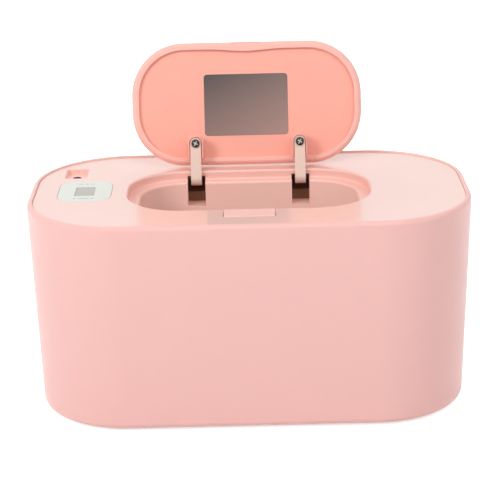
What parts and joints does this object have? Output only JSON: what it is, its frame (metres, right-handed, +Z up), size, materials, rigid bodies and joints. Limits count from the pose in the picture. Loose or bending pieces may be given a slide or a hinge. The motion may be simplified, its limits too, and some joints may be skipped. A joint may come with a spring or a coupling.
{
  "type": "baby wipe warmer",
  "caption": "Rounded table-top warmer for baby wipes: a shell with an inner tub, a lift-off heated deck and a latched lid on gooseneck hinges, lid open.",
  "frame": {"origin": "centre of the footprint, at the bottom of the feet on the table", "axes": "+X to the right seen from the front, +Y to the back, +Z up"},
  "size_m": [0.205, 0.1172, 0.157],
  "materials": {
    "pink_shell": "satin-gloss moulded ABS",
    "pink_deck": "semi-gloss moulded ABS",
    "pink_base": "fine matt texture",
    "white_tub": "smooth moulded polypropylene",
    "rubber_foot": "matt rubber",
    "zinc_screw": "zinc plated",
    "steel": "drawn steel",
    "aluminium_plate": "rolled sheet",
    "heater_film": "polyimide film",
    "black_part": "moulded",
    "green_board": "solder mask",
    "display_grey": "unlit grey display window",
    "panel_white": "printed overlay with no print",
    "white_lead": "insulated wire",
    "red_lead": "insulated wire",
    "cream_plastic": "smooth moulded acetal",
    "salmon_liner": "semi-gloss moulded ABS",
    "dark_screw": "black oxide"
  },
  "bodies": {
    "case": {"outer_shell": "pink_shell", "inner_tub": "white_tub", "base_plate": "pink_base", "base_screws": "zinc_screw", "rubber_feet": "rubber_foot"},
    "deck": {"top_deck": "pink_deck", "deck_undertray": "white_tub", "heating_plate": "aluminium_plate", "heating_film": "heater_film", "thermal_fuse": "steel", "temperature_sensor": "black_part", "control_board": "green_board", "display_module": "black_part", "display_window": "display_grey", "control_panel": "panel_white", "power_jack": "black_part", "heater_leads": "white_lead", "power_leads": "red_lead", "hinge_pin_left": "steel", "hinge_pin_right": "steel", "lid_spring_left": "steel", "lid_spring_right": "steel", "deck_screws": "zinc_screw", "board_screws": "zinc_screw", "latch_retainer": "cream_plastic", "retainer_screws": "zinc_screw", "latch_spring": "steel"},
    "lid": {"lid_cover": "pink_shell", "lid_liner": "salmon_liner", "hinge_arm_left": "cream_plastic", "hinge_arm_right": "cream_plastic", "arm_screws": "dark_screw"},
    "latch_button": {"latch_button": "pink_deck"},
    "latch_slider": {"latch_slider": "cream_plastic"}
  },
  "joints": [
    {"name": "deck_lift", "type": "slide", "parent": "case", "child": "deck", "axis": [0, 0, 1], "range_m": [0, 0.04]},
    {"name": "lid_hinge", "type": "hinge", "parent": "deck", "child": "lid", "pos_m": [0, 0.0332, 0.095], "axis": [1, 0, 0], "range_deg": [0, 105], "stiffness_Nm_per_rad": 0.006, "springref_deg": -17.19},
    {"name": "latch_press", "type": "slide", "parent": "deck", "child": "latch_button", "axis": [0, 0, -1], "range_m": [0, 0.0008], "stiffness_N_per_m": 400, "springref_m": -0.001, "deforming": ["latch_spring"]},
    {"name": "latch_retract", "type": "slide", "parent": "deck", "child": "latch_slider", "axis": [0, -1, 0], "range_m": [0, 0.00125]}
  ],
  "couplings": [
    {"joint": "latch_retract", "follows": "latch_press", "ratio": 1.5}
  ]
}
